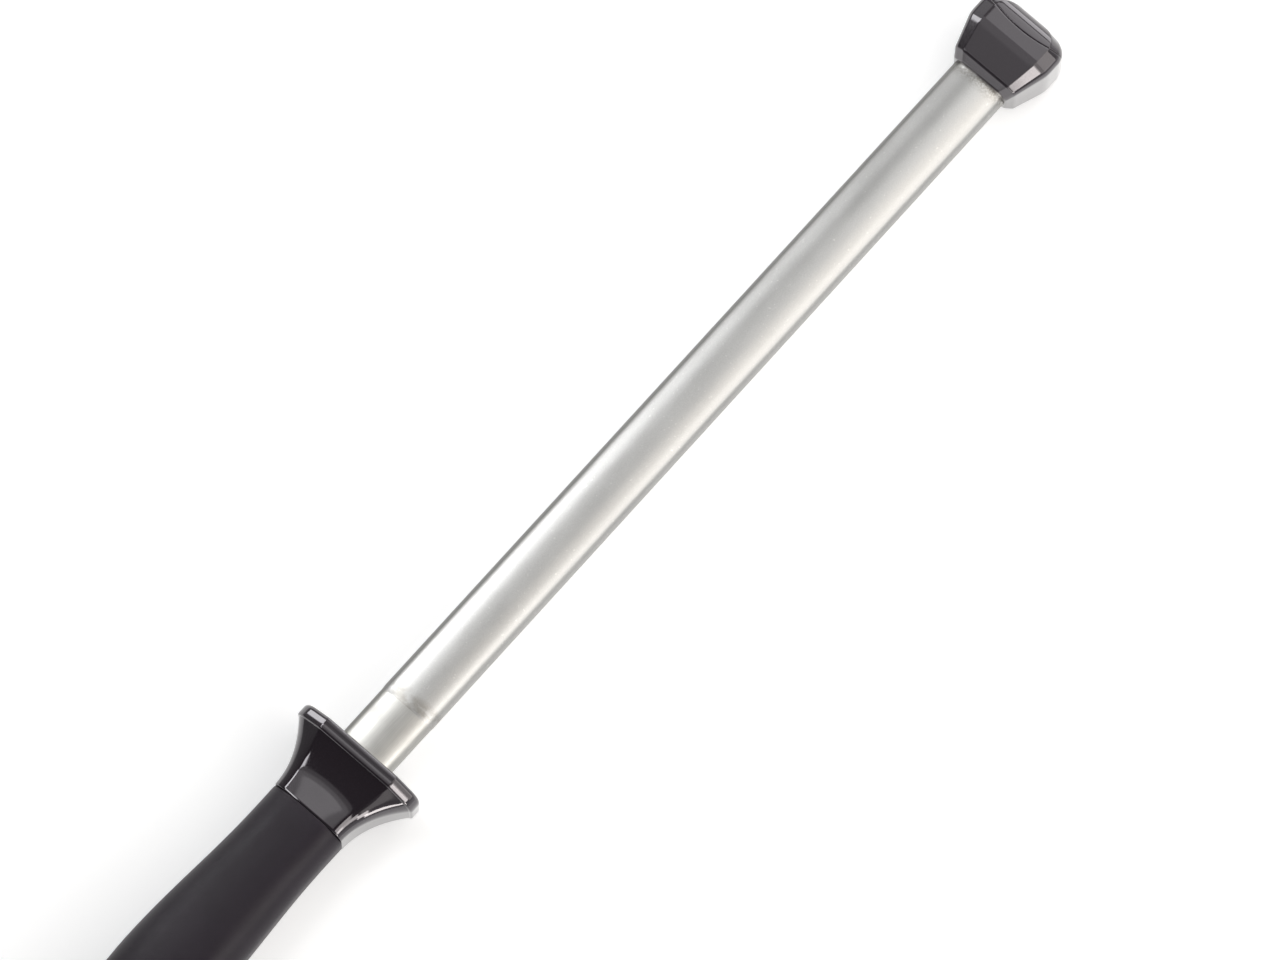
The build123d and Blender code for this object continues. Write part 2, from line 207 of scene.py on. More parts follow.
def outline(width, height, corner):
    """Rounded rectangle as (y, z) pairs about the rod's axis, anticlockwise from +Y."""
    half_y = width / 2
    half_z = height / 2
    reach = min(corner * corner_reach, half_y, half_z)
    quarter = [(half_y, (half_z - reach) * step / side_points) for step in range(side_points)]
    for step in range(corner_points + 1):
        turn = pi / 2 * step / corner_points
        total = cos(turn) ** corner_power + sin(turn) ** corner_power
        size = reach * total ** (-1 / corner_power)
        quarter.append((half_y - reach + size * cos(turn), half_z - reach + size * sin(turn)))
    for step in range(1, top_points + 1):
        quarter.append(((half_y - reach) * (1 - step / top_points), half_z))
    return mirrored(quarter)


def bevelled(width, height, corner, flatness=bevel_flat, bow=0.0):
    """Outline like the rounded rectangle's, with a bevel between each level face and its corner.

    The less of the corner is flat, the larger the round from the bevel to the level face. The
    bevel turns by bow on each side of its slope.
    """
    outer = bevel_outer * corner
    flat = flatness * corner
    inner = (bevel_inner + (bevel_flat - flatness) / tan(bevel_slope)) * corner
    half_turn = max(bow, least_bow)
    steep = bevel_slope + half_turn
    shallow = bevel_slope - half_turn
    arc = flat / (2 * half_turn)
    half_y = width / 2
    half_z = height / 2
    centre_y = half_y - outer
    rise = arc * (cos(shallow) - cos(steep))
    centre_z = half_z - inner * (1 - cos(shallow)) - rise - outer * cos(steep)
    quarter = [(half_y, centre_z * step / side_points) for step in range(side_points)]
    for step in range(outer_steps + 1):
        turn = (pi / 2 - steep) * step / outer_steps
        quarter.append((centre_y + outer * cos(turn), centre_z + outer * sin(turn)))
    low_y, low_z = quarter[-1]
    hold = bevel_hold + (bowed_hold - bevel_hold) * min(1.0, bow / collar_bow)
    for share in (hold, 1 - hold, 1.0):
        tilt = steep - 2 * half_turn * share
        across = arc * (sin(steep) - sin(tilt))
        upward = arc * (cos(tilt) - cos(steep))
        quarter.append((low_y - across, low_z + upward))
    middle_y = quarter[-1][0] - inner * sin(shallow)
    for step in range(1, inner_steps + 1):
        turn = pi / 2 - shallow + shallow * step / inner_steps
        quarter.append((middle_y + inner * cos(turn), half_z - inner + inner * sin(turn)))
    for step in range(1, top_points + 1):
        quarter.append((middle_y * (1 - step / top_points), half_z))
    return mirrored(quarter)


def crowned(pairs, crown):
    """Outline whose level faces are bowed, so that they sink by that share at the sides."""
    half_y = max(y for y, _ in pairs)
    return [(y, z * (1 - crown * (y / half_y) ** 2)) for y, z in pairs]


def ellipse(half_y, half_z):
    """Ellipse as (y, z) pairs, with as many points as an outline and in the same order."""
    turns = [2 * pi * step / ring_points for step in range(ring_points)]
    return [(half_y * cos(turn), half_z * sin(turn)) for turn in turns]


def at(x, pairs):
    """Ring of points square to the rod's axis; x is one place, or one for each point."""
    places = x if isinstance(x, list) else [x] * len(pairs)
    return [Vector((place, y, axis_z + z)) for place, (y, z) in zip(places, pairs)]


def rounding(radius, steps=5):
    """Steps (along, inset) of a rounded edge, from the end face to the side."""
    turns = [pi / 2 * step / steps for step in range(steps + 1)]
    return [(radius * (1 - cos(turn)), radius * (1 - sin(turn))) for turn in turns]


def inset_size(size, inset):
    """Size of an outline drawn inset inside another."""
    width, height, corner = size
    return width - 2 * inset, height - 2 * inset, max(corner - inset, least_corner)


def evenly(start, length, steps):
    """Places from start to start + length in equal steps, both ends among them."""
    return [start + length * step / steps for step in range(steps + 1)]


def between(first, last, share):
    """Point at that share of the way between two tuples."""
    return tuple(a + (b - a) * share for a, b in zip(first, last))


def ease(share):
    """Smooth step from 0 to 1 with level ends."""
    return (1 - cos(pi * share)) / 2


# ---------------------------------------------------------------- meshes


def finish_piece(name, points, faces, body, slot, nodes, material):
    """Object from points in millimetres that rides on a body and stands for CAD nodes."""
    mesh = bpy.data.meshes.new(name)
    mesh.from_pydata([point * MM for point in points], [], faces)
    mesh.validate()
    mesh.shade_smooth()
    mesh.set_sharp_from_angle(angle=sharp_angle)
    mesh.materials.append(material)
    piece = bpy.data.objects.new(name, mesh)
    bpy.context.scene.collection.objects.link(piece)
    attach(piece, body)
    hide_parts(*nodes)


def skin(rings, closed=False, first_point=None, last_point=None):
    """Points and outward faces of a loft; it is closed on itself or ends in fans to a point."""
    count = len(rings[0])
    points = [point for ring in rings for point in ring]
    faces = []
    for row in range(len(rings) - (0 if closed else 1)):
        here = row * count
        after = (row + 1) % len(rings) * count
        for step in range(count):
            turn = (step + 1) % count
            faces.append((here + step, here + turn, after + turn, after + step))
    for centre, row, flip in ((first_point, 0, True), (last_point, len(rings) - 1, False)):
        if centre is not None:
            points.append(centre)
            for step in range(count):
                edge = (row * count + step, row * count + (step + 1) % count)
                faces.append((*(reversed(edge) if flip else edge), len(points) - 1))
    return points, faces


# ---------------------------------------------------------------- node helpers


def feed(tree, node, inputs):
    """Gives each of these inputs of a node its value, or a link from another node's socket."""
    for key, value in inputs.items():
        if isinstance(value, bpy.types.NodeSocket):
            tree.links.new(value, node.inputs[key])
        else:
            node.inputs[key].default_value = value


def add_node(tree, kind, inputs=None, **settings):
    """Adds a node with its settings and inputs."""
    made = tree.nodes.new(kind)
    for key, value in settings.items():
        setattr(made, key, value)
    feed(tree, made, inputs or {})
    return made


def new_material(name):
    """Material with a Principled shader; returns it, its node tree and the shader."""
    material = bpy.data.materials.new(name)
    material.use_nodes = True
    return material, material.node_tree, material.node_tree.nodes["Principled BSDF"]


def place(tree, stretch=(1, 1, 1)):
    """The object's own coordinates in metres, stretched along each axis."""
    source = add_node(tree, "ShaderNodeTexCoord").outputs["Object"]
    moved = add_node(tree, "ShaderNodeMapping", {"Vector": source, "Scale": stretch})
    return moved.outputs["Vector"]


def noise(tree, size, detail=3.0, rough=0.5, stretch=(1, 1, 1)):
    """Noise whose features are about size millimetres."""
    inputs = {
        "Vector": place(tree, stretch),
        "Scale": 1 / (size * MM),
        "Detail": detail,
        "Roughness": rough,
    }
    return add_node(tree, "ShaderNodeTexNoise", inputs).outputs["Fac"]


def remap(tree, value, low, high, new_low, new_high):
    """Straight map of a value, clamped to its new ends."""
    inputs = {
        "Value": value,
        "From Min": low,
        "From Max": high,
        "To Min": new_low,
        "To Max": new_high,
    }
    return add_node(tree, "ShaderNodeMapRange", inputs).outputs["Result"]


def mask(tree, value, low, high):
    """0 on low's side and 1 on high's, with a straight slope between them."""
    return remap(tree, value, low, high, 0, 1)


def spread(tree, value, new_low=0, new_high=1):
    """Noise stretched from the range that it mostly keeps to."""
    return remap(tree, value, 0.3, 0.7, new_low, new_high)


def coordinate(tree, axis):
    """The object's own X, Y or Z in metres."""
    return add_node(tree, "ShaderNodeSeparateXYZ", {0: place(tree)}).outputs[axis]


def calculate(tree, operation, first, second):
    """Math node on two values or sockets."""
    return add_node(tree, "ShaderNodeMath", {0: first, 1: second}, operation=operation).outputs[0]


def blend_colours(tree, share, first, second):
    """Colour between two others by a socket."""
    made = add_node(tree, "ShaderNodeMix", {0: share, 6: first, 7: second}, data_type="RGBA")
    return made.outputs[2]


def tinted(tree, colour, tint):
    """Colour multiplied by another."""
    inputs = {0: 1.0, 6: colour, 7: tint}
    made = add_node(tree, "ShaderNodeMix", inputs, data_type="RGBA", blend_type="MULTIPLY")
    return made.outputs[2]


def grey(level):
    """Opaque neutral colour."""
    return (level, level, level, 1.0)


def shaded(colour, share):
    """Opaque colour darkened to that share."""
    red, green, blue, _ = colour
    return share * red, share * green, share * blue, 1


def bump(tree, height, depth, strength=1.0, under=None):
    """Bump of that depth in millimetres; under is a bump that this one lies on."""
    inputs = {"Height": height, "Distance": depth * MM, "Strength": strength}
    if under is not None:
        inputs["Normal"] = under
    return add_node(tree, "ShaderNodeBump", inputs).outputs["Normal"]


# ---------------------------------------------------------------- materials


def soft_touch_material():
    """Matte soft-touch plastic: fine grain, faint dimples and handling sheen."""
    material, tree, shader = new_material("soft_touch")
    cloud = mask(tree, noise(tree, 14.0, detail=4.0), 0.35, 0.65)
    dark = (0.0140, 0.0090, 0.0154, 1)
    pale = (0.0176, 0.0116, 0.0194, 1)
    rub = noise(tree, 5.0, detail=5.0, stretch=(0.4, 1, 1))
    grain = bump(tree, noise(tree, 0.22, detail=2.0), 0.035)
    dimples = noise(tree, 2.6, detail=3.0)
    looks = {
        "Base Color": blend_colours(tree, cloud, dark, pale),
        "Roughness": spread(tree, rub, 0.40, 0.47),
        "Normal": bump(tree, dimples, 0.06, 0.5, grain),
        "Sheen Weight": 0.03,
        "Sheen Roughness": 0.45,
        "IOR": 1.42,
    }
    feed(tree, shader, looks)
    return material


def gloss_material():
    """Polished black moulding with faint smudges and hairlines."""
    material, tree, shader = new_material("gloss_black")
    blotches = noise(tree, 6.0, detail=5.0, rough=0.6)
    hair = noise(tree, 0.35, detail=2.0, stretch=(0.05, 1, 1))
    smudge_rough = remap(tree, blotches, 0.45, 0.75, 0.0, 0.05)
    hair_rough = remap(tree, hair, 0.6, 0.8, 0.06, 0.10)
    flow = bump(tree, noise(tree, 9.0, detail=1.0), 0.05, 0.6)
    looks = {
        "Base Color": (0.0160, 0.0120, 0.0160, 1),
        "Roughness": calculate(tree, "ADD", smudge_rough, hair_rough),
        "Normal": bump(tree, hair, 0.0015, 0.6, flow),
        "IOR": 1.5,
        "Specular Tint": (1.0, 0.90, 1.0, 1),
        "Coat Weight": 1.0,
        "Coat IOR": 1.7,
        "Coat Roughness": 0.06,
    }
    feed(tree, shader, looks)
    return material


def with_painted_edge_shade(tree, colour):
    """Colour darkened by painted shade towards the rod's narrow edges, more on the +Y side than on
    the -Y side.
    """
    aside = coordinate(tree, "Y")
    half_width = rod_half[0] * MM
    for side, start, end, level in painted_edge_shade_bands:
        share = mask(tree, aside, side * start * half_width, side * end * half_width)
        colour = tinted(tree, colour, blend_colours(tree, share, grey(1.0), grey(level)))
    return colour


def grain_colour(tree, fine, patch):
    """The plate's grey with paler grains, faint patches and bright specks."""
    dark = (0.58, 0.575, 0.56, 1)
    pale = (0.74, 0.735, 0.72, 1)
    bright = (0.92, 0.91, 0.88, 1)
    grains = blend_colours(tree, spread(tree, fine), dark, pale)
    toned = tinted(tree, grains, blend_colours(tree, spread(tree, patch), grey(0.94), grey(1.0)))
    specks = remap(tree, noise(tree, 0.75, detail=0.0), 0.78, 0.82, 0, 0.5)
    return blend_colours(tree, specks, toned, bright)


def start_streak_tint(tree, along):
    """Darker streaky tint over the plate's start."""
    fade_start = (coat_low.x + streak_even * streak_length) * MM
    near = remap(tree, along, fade_start, (coat_low.x + streak_length) * MM, 1, 0)
    streak = noise(tree, 2.8, detail=4.0, rough=0.6, stretch=(1, 0.5, 0.5))
    blotches = calculate(tree, "MULTIPLY", near, mask(tree, streak, 0.40, 0.56))
    return blend_colours(tree, blotches, grey(1.0), (0.73, 0.71, 0.68, 1))


def tip_band_tint(tree, along):
    """Darker lumpy tint over the plate just in front of the tip cap."""
    near = mask(tree, along, (cap_low.x - tip_band_length) * MM, cap_low.x * MM)
    lumps = mask(tree, noise(tree, 0.55, detail=3.0, rough=0.7), 0.40, 0.60)
    tip_band = calculate(tree, "MULTIPLY", near, lumps)
    return blend_colours(tree, tip_band, grey(1.0), (0.55, 0.52, 0.48, 1))


def grit_material():
    """Nickel plate holding fine diamond grit: satin and speckled, darker and streaky where it
    starts, with painted shade along its narrow edges.
    """
    material, tree, shader = new_material("diamond_grit")
    fine = noise(tree, 0.22, detail=3.0, rough=0.7)
    patch = noise(tree, 7.0, detail=4.0, stretch=(0.35, 1, 1))
    along = coordinate(tree, "X")
    streaked = tinted(tree, grain_colour(tree, fine, patch), start_streak_tint(tree, along))
    tip_banded = tinted(tree, streaked, tip_band_tint(tree, along))
    grain = bump(tree, fine, 0.008, 0.8)
    lumps = noise(tree, 0.8, detail=2.0)
    looks = {
        # base colour with painted shade along the rod's narrow edges
        "Base Color": with_painted_edge_shade(tree, tip_banded),
        "Metallic": 1.0,
        "Roughness": spread(tree, patch, 0.32, 0.37),
        "Normal": bump(tree, lumps, 0.012, 0.5, grain),
    }
    feed(tree, shader, looks)
    return material


def ground_steel_material(name, colour, rough, paint_edge_shade=False):
    """Ground or turned metal with fine lines along the rod."""
    material, tree, shader = new_material(name)
    lines = noise(tree, 0.25, detail=4.0, rough=0.6, stretch=(0.03, 1, 1))
    cloud = noise(tree, 4.0, detail=3.0)
    base = blend_colours(tree, spread(tree, lines), shaded(colour, 0.86), colour)
    looks = {
        # painted shade along the narrow edges where asked, for the rod's bare steel
        "Base Color": with_painted_edge_shade(tree, base) if paint_edge_shade else base,
        "Metallic": 1.0,
        "Roughness": spread(tree, cloud, rough - 0.05, rough + 0.05),
        "Normal": bump(tree, lines, 0.006, 0.5),
    }
    feed(tree, shader, looks)
    return material


def plated_material():
    """Bright nickel plate with small scratches and a dulled patch here and there."""
    material, tree, shader = new_material("plated_steel")
    dull = noise(tree, 2.5, detail=4.0)
    scratch = noise(tree, 0.3, detail=3.0, stretch=(1, 0.1, 0.4))
    looks = {
        "Base Color": (0.70, 0.695, 0.68, 1),
        "Metallic": 1.0,
        "Roughness": remap(tree, dull, 0.4, 0.7, 0.12, 0.24),
        "Normal": bump(tree, scratch, 0.004, 0.5),
    }
    feed(tree, shader, looks)
    return material


def plain_plastic_material(name, colour, rough):
    """Moulded plastic or rubber with a fine texture."""
    material, tree, shader = new_material(name)
    cloud = noise(tree, 2.0, detail=3.0)
    looks = {
        "Base Color": blend_colours(tree, spread(tree, cloud), shaded(colour, 0.85), colour),
        "Roughness": spread(tree, cloud, rough - 0.04, rough + 0.04),
        "Normal": bump(tree, noise(tree, 0.3, detail=2.0), 0.01, 0.6),
    }
    feed(tree, shader, looks)
    return material


soft_touch = soft_touch_material()
gloss_black = gloss_material()
diamond_grit = grit_material()
# the bare steel of the rod also gets painted shade on its narrow edges
rod_steel = ground_steel_material("rod_steel", (0.66, 0.65, 0.62, 1), 0.34, paint_edge_shade=True)
tang_steel = ground_steel_material("tang_steel", (0.50, 0.50, 0.50, 1), 0.38)
plug_aluminium = ground_steel_material("plug_aluminium", (0.70, 0.70, 0.71, 1), 0.32)
plated_steel = plated_material()
core_plastic = plain_plastic_material("core_plastic", (0.05, 0.05, 0.05, 1), 0.5)
seal_rubber = plain_plastic_material("seal_rubber", (0.02, 0.02, 0.02, 1), 0.65)

# ---------------------------------------------------------------- handle


def grip_size(depth):
    """Width, height and corner of the grip, depth millimetres behind its front edge."""
    length = grip_high.x - grip_low.x
    if depth <= grip_neck_straight:
        size = grip_neck
    elif depth <= grip_swell_at:
        share = (depth - grip_neck_straight) / (grip_swell_at - grip_neck_straight)
        size = between(grip_neck, grip_swell, ease(share))
    elif depth <= grip_waist_at:
        share = (depth - grip_swell_at) / (grip_waist_at - grip_swell_at)
        size = between(grip_swell, grip_waist, ease(share))
    else:
        share = (depth - grip_waist_at) / (2 * (length - grip_waist_at))
        size = between(grip_waist, grip_butt, 2 * ease(share))
    return *size, roundness * size[1]


def grip_ring(depth, inset=0.0):
    """Ring of the grip's surface, crowned as the collar is at first and then more."""
    crown = collar_crown + (grip_crown - collar_crown) * ease(min(1.0, depth / crown_length))
    return at(grip_high.x - depth, crowned(outline(*inset_size(grip_size(depth), inset)), crown))


def sleeve_ring(depth):
    """Ring of the sleeve's inside."""
    return at(grip_high.x - depth, outline(*inset_size(grip_size(depth), grip_wall)))


def build_grip():
    """Soft-touch sleeve: a hollow shell with lightly rounded ends."""
    length = grip_high.x - grip_low.x
    edges = rounding(grip_edge)
    depths = evenly(grip_edge, length - 2 * grip_edge, grip_stations)
    outer = [grip_ring(along, inset) for along, inset in edges]
    outer += [grip_ring(depth) for depth in depths[1:-1]]
    outer += [grip_ring(length - along, inset) for along, inset in reversed(edges)]
    inner = [sleeve_ring(length * (1 - step / grip_stations)) for step in range(grip_stations + 1)]
    mesh = skin(outer + inner, closed=True)
    finish_piece("grip", *mesh, "steel", "soft_touch", ["grip_sleeve"], soft_touch)


# ---------------------------------------------------------------- guard


def flare_size(share):
    """Width, height and corner of the guard's flare; share is 0 at the collar and 1 at the rim."""
    collar = (collar_width, collar_height, collar_corner)
    rim = inset_size(guard_size, rim_back_round)
    width, _, corner = between(collar, rim, share**2)
    rise = max(0.0, (share - collar_flat) / (1 - collar_flat)) ** 2
    return width, collar_height + (rim[1] - collar_height) * rise, corner


def flare_ring(share, inset=0.0):
    """Ring of the flare's outside, whose bevel is rounder at the collar than at the rim."""
    flatness = collar_bevel_flat + (bevel_flat - collar_bevel_flat) * share
    bow = collar_bow * (1 - share**4)
    pairs = bevelled(*inset_size(flare_size(share), inset), flatness, bow)
    crown = collar_crown * (1 - share) ** 2
    return at(flare_low.x + share * (flare_high.x - flare_low.x), crowned(pairs, crown))


def build_guard_body():
    """Flared body of the guard, with the sockets for the rod, the tang and the handle's core."""
    rings = []
    length = flare_high.x - flare_low.x
    for along, inset in rounding(collar_edge, steps=3):
        rings.append(flare_ring(along / length, inset))
    for along in evenly(collar_edge, length - collar_edge, flare_stations)[1:]:
        rings.append(flare_ring(along / length))
    socket = ellipse(tube_half[0] + fit_gap, tube_half[1] + fit_gap)
    tang_hole = ellipse(butt_bore + tang_play, butt_bore + tang_play)
    web_back = tube_low.x - web_thickness
    rings += [
        at(flare_high.x, outline(*cavity_size)),
        at(flare_high.x - cavity_depth, outline(*cavity_size)),
        at(flare_high.x - cavity_depth, socket),
        at(tube_low.x, socket),
        at(tube_low.x, tang_hole),
        at(web_back, tang_hole),
        at(web_back, outline(*core_spigot_size)),
        at(flare_low.x, outline(*core_spigot_size)),
    ]
    mesh = skin(rings, closed=True)
    finish_piece("guard", *mesh, "steel", "gloss_black", ["guard_body"], gloss_black)


def rim_ring(x, inset):
    """Ring of the rim's outside, drawn inset inside its full size."""
    return at(x, bevelled(*inset_size(guard_size, inset)))


def build_guard_rim():
    """Rim of the guard with its face, the rod's oval mouth and the spigot behind it."""
    face = plate_high.x
    back = flare_high.x
    spigot_end = plate_low.x
    spigot = inset_size(cavity_size, fit_gap)
    mouth = (rod_half[0] + fit_gap, rod_half[1] + fit_gap)
    seal_seat = ellipse(tube_half[0] + seal_width, tube_half[1] + seal_width)
    rings = [at(spigot_end, outline(*spigot)), at(back, outline(*spigot))]
    rings += [rim_ring(back + along, inset) for along, inset in rounding(rim_back_round)]
    front_edge = reversed(rounding(rim_front_round, steps=8))
    rings += [rim_ring(face - along, inset) for along, inset in front_edge]
    rings += [
        at(face, ellipse(mouth[0] + rod_mouth_chamfer, mouth[1] + rod_mouth_chamfer)),
        at(face - rod_mouth_chamfer, ellipse(*mouth)),
        at(spigot_end + seal_thickness, ellipse(*mouth)),
        at(spigot_end + seal_thickness, seal_seat),
        at(spigot_end, seal_seat),
    ]
    mesh = skin(rings, closed=True)
    finish_piece("guard_rim", *mesh, "steel", "gloss_black", ["guard_plate"], gloss_black)


# ---------------------------------------------------------------- butt


def build_butt():
    """End cap of the handle with the recess for the washer and the eye nut."""
    front = grip_low.x
    back = butt_low.x
    size = (*grip_butt, roundness * grip_butt[1])
    recess = back + recess_depth
    bore = ellipse(butt_bore, butt_bore)
    spigot = ellipse(butt_spigot, butt_spigot)
    rings = [at(butt_high.x, bore), at(butt_high.x, spigot), at(front, spigot)]
    edges = [(front - along, inset) for along, inset in rounding(butt_edge, steps=3)]
    edges += [(back + along, inset) for along, inset in reversed(rounding(butt_round, steps=12))]
    rings += [at(x, crowned(outline(*inset_size(size, inset)), grip_crown)) for x, inset in edges]
    for along, inset in rounding(butt_edge, steps=4):
        rings.append(at(back + along, ellipse(recess_radius + inset, recess_radius + inset)))
    rings += [at(recess, ellipse(recess_radius, recess_radius)), at(recess, bore)]
    mesh = skin(rings, closed=True)
    finish_piece("butt", *mesh, "steel", "gloss_black", ["butt_cap"], gloss_black)


def wire_section(middle, spoke, normal, size):
    """Circle of points round the wire."""
    turns = [2 * pi * step / wire_points for step in range(wire_points)]
    return [middle + spoke * size * cos(turn) + normal * size * sin(turn) for turn in turns]


def build_ring():
    """Bent wire ring, closed by a narrow butt joint on its far side."""
    centre = Vector(((ring_low.x + ring_high.x) / 2, 0, (ring_low.z + ring_high.z) / 2))
    radius = ring_high.y - wire_radius
    outward = (hinge - centre).normalized()
    sideways = Vector((0, 1, 0))
    normal = outward.cross(sideways)
    half_gap = wire_gap / 2 / radius
    edges = rounding(wire_radius * wire_end_round, steps=4)
    places = [(half_gap + along / radius, wire_radius - inset) for along, inset in edges]
    for turn in evenly(half_gap, 2 * pi - 2 * half_gap, ring_steps)[1:-1]:
        places.append((turn, wire_radius))
    for along, inset in reversed(edges):
        places.append((2 * pi - half_gap - along / radius, wire_radius - inset))
    rings = []
    for turn, size in places:
        spoke = -outward * cos(turn) + sideways * sin(turn)
        rings.append(wire_section(centre + spoke * radius, spoke, normal, size))
    ends = [sum(ring, Vector()) / wire_points for ring in (rings[0], rings[-1])]
    mesh = skin(rings, False, *ends)
    finish_piece("ring", *mesh, "ring", "plated_steel", ["hang_ring"], plated_steel)


# ---------------------------------------------------------------- tip


def seam_place(y):
    """X of the bowed seam, y millimetres beside the rod's axis."""
    radius = ((tip_width / 2) ** 2 + seam_bow**2) / (2 * seam_bow)
    return seam_x + radius - sqrt(radius**2 - y**2)


def tip_size(x):
    """Width, height and corner of the tip's outside at x."""
    full = (tip_width, guard_size[1], tip_corner)
    lip_x = cap_low.x + lip_length
    flank_start = (
        tip_width - 2 * flank_length * tan(side_angle),
        guard_size[1] - 2 * flank_length * tan(flat_angle),
        lip_size[2],
    )
    if x <= lip_x:
        return between(lip_size, flank_start, (x - cap_low.x) / lip_length)
    if x <= ridge_x - ridge_reach:
        return between(flank_start, full, (x - lip_x) / flank_length)
    if x <= ridge_x + ridge_reach:
        share = (ridge_x + ridge_reach - x) / (2 * ridge_reach)
        return between(full, flank_start, ridge_reach / flank_length * share**2)
    if x <= seam_x:
        return full
    share = min((x - seam_x) / (foot_high.x - seam_x), 1.0)
    return between(full, tip_end_size, 1 - sqrt(1 - share**2))


def tip_ring(places, inset=0.0):
    """Ring of the tip's outside with one x for each of its points."""
    points = []
    for step, x in enumerate(places):
        points.append(bevelled(*inset_size(tip_size(x), inset))[step])
    return at(places, points)


def seam_places():
    """X of each of the outline's points where the outside meets the seam."""
    places = [seam_x] * ring_points
    for _ in range(seam_passes):
        sides = [bevelled(*tip_size(x))[step][0] for step, x in enumerate(places)]
        places = [seam_place(y) for y in sides]
    return places


def seam_inner():
    """Ring on the seam where the cap's spigot leaves it."""
    pairs = outline(*spigot_size)
    return at([seam_place(y) for y, _ in pairs], pairs)


def tip_places():
    """X of the tip's rings from its lip's edge to the far side of the ridge."""
    lip = evenly(cap_low.x + lip_edge, lip_length - lip_edge, lip_steps)
    flank = evenly(cap_low.x + lip_length, flank_length - ridge_reach, flank_steps)
    ridge = evenly(ridge_x - ridge_reach, 2 * ridge_reach, ridge_steps)
    return lip[:-1] + flank[:-1] + ridge


def build_tip_cap():
    """Cap over the rod's end: lip, guide faces, ridge, land and the spigot for the foot."""
    rod_end = tube_high.x
    hole = ellipse(rod_half[0] + fit_gap, rod_half[1] + fit_gap)
    rings = [at(cap_low.x, hole)]
    for along, inset in rounding(lip_edge * lip_edge_round, steps=3):
        rings.append(tip_ring([cap_low.x + along] * ring_points, inset))
    rings += [tip_ring([x] * ring_points) for x in tip_places()]
    start = ridge_x + ridge_reach
    seam = seam_places()
    for step in range(1, land_steps):
        share = step / land_steps
        rings.append(tip_ring([start + (x - seam_groove - start) * share for x in seam]))
    for along, inset in reversed(rounding(seam_groove, steps=3)):
        rings.append(tip_ring([x - along for x in seam], inset))
    rings.append(seam_inner())
    rings += [
        at(web_end_x, outline(*spigot_size)),
        at(web_end_x, ellipse(screw_head_radius, screw_head_radius)),
        at(web_end_x - screw_head_height, ellipse(screw_radius, screw_radius)),
        at(rod_end, ellipse(screw_radius, screw_radius)),
        at(rod_end, hole),
    ]
    mesh = skin(rings, closed=True)
    finish_piece("tip_shell", *mesh, "steel", "gloss_black", ["tip_cap"], gloss_black)


def build_tip_foot():
    """Rounded foot pressed over the cap's spigot, closing the tip."""
    tip = foot_high.x
    seam = seam_places()
    rings = [at(web_end_x, outline(*spigot_size)), seam_inner()]
    for along, inset in rounding(seam_groove, steps=3):
        rings.append(tip_ring([x + along for x in seam], inset))
    for step in range(1, foot_steps + 1):
        share = sin(pi / 2 * step / foot_steps)
        rings.append(tip_ring([x + seam_groove + (tip - x - seam_groove) * share for x in seam]))
    rings.append(at(tip, bevelled(*inset_size(tip_end_size, tip_end_inset))))
    ends = (Vector((web_end_x, 0, axis_z)), Vector((tip, 0, axis_z)))
    mesh = skin(rings, False, *ends)
    finish_piece("foot_shell", *mesh, "steel", "gloss_black", ["tip_foot"], gloss_black)


# ---------------------------------------------------------------- rod


def build_rod():
    """Steel tube of the rod, bare near the guard."""
    length = tube_high.x - tube_low.x
    outside = ellipse(*tube_half)
    bore = ellipse(tube_half[0] - tube_wall, tube_half[1] - tube_wall)
    rings = [at(x, outside) for x in evenly(tube_low.x, length, rod_stations)]
    rings += [at(tube_high.x, bore), at(tube_low.x, bore)]
    mesh = skin(rings, closed=True)
    finish_piece("rod", *mesh, "steel", "rod_steel", ["rod_tube"], rod_steel)


def build_grit():
    """Gritty plate round the tube, feathered where it starts."""
    start = coat_low.x + coat_feather
    inside = ellipse(*tube_half)
    outside = ellipse(*rod_half)
    rings = [at(coat_low.x, inside), at(start, outside), at(start + coat_feather, outside)]
    rings += [at(x, outside) for x in evenly(start, coat_high.x - start, rod_stations)[1:]]
    rings.append(at(coat_high.x, inside))
    mesh = skin(rings, closed=True)
    finish_piece("rod_grit", *mesh, "steel", "diamond_grit", ["diamond_coating"], diamond_grit)


# ---------------------------------------------------------------- carried-over CAD nodes


def dress_cad_nodes():
    """Gives each CAD node that no piece made here replaces its material."""
    dresses = {
        "tang": tang_steel,
        "tang_pin": tang_steel,
        "tip_pin": tang_steel,
        "tip_plug": plug_aluminium,
        "handle_core_top": core_plastic,
        "handle_core_bottom": core_plastic,
        "rod_seal": seal_rubber,
        "butt_washer": plated_steel,
        "lock_washer": plated_steel,
        "eye_nut": plated_steel,
        "tip_screw": plated_steel,
    }
    for name, material in dresses.items():
        mesh = frame["nodes"][name].data
        mesh.materials.clear()
        mesh.materials.append(material)


# ---------------------------------------------------------------- studio

# Camera and floor, with lengths in metres
camera_azimuth = radians(-48.51)
camera_elevation = radians(75.5)
camera_distance = 3.5
camera_aim = Vector((122.5, -5.4, 12.5)) * MM
view_width = 0.391  # across the picture at the aim
sensor_width = 36.0  # millimetres
far_clip = 50.0
floor_half = 8.0
floor_drop = 0.0001  # keeps the floor clear of the object's lowest faces
floor_tone = 0.85
floor_glow = 0.45

# Light of the room by the X, Y and Z of a direction of length 1
white_up_to = 0.07  # Z below which the room is white
white_fade = 0.05  # Z over which the white fades into the room
zenith_from = 0.8  # Z above which the room is as dim as overhead
horizon_level = 0.95
zenith_level = 0.06
behind_ends = (-0.9, 0.2)  # X where the room behind the handle is dimmest, and where it is full
behind_share = 0.35
beyond_ends = (0.2, 0.9)  # Y where the room beyond the rod is still full, and where it is dimmest
beyond_share = 0.40

# Colours of the lights
cool = (0.98, 0.99, 1.0)
warm = (1.0, 0.965, 0.925)


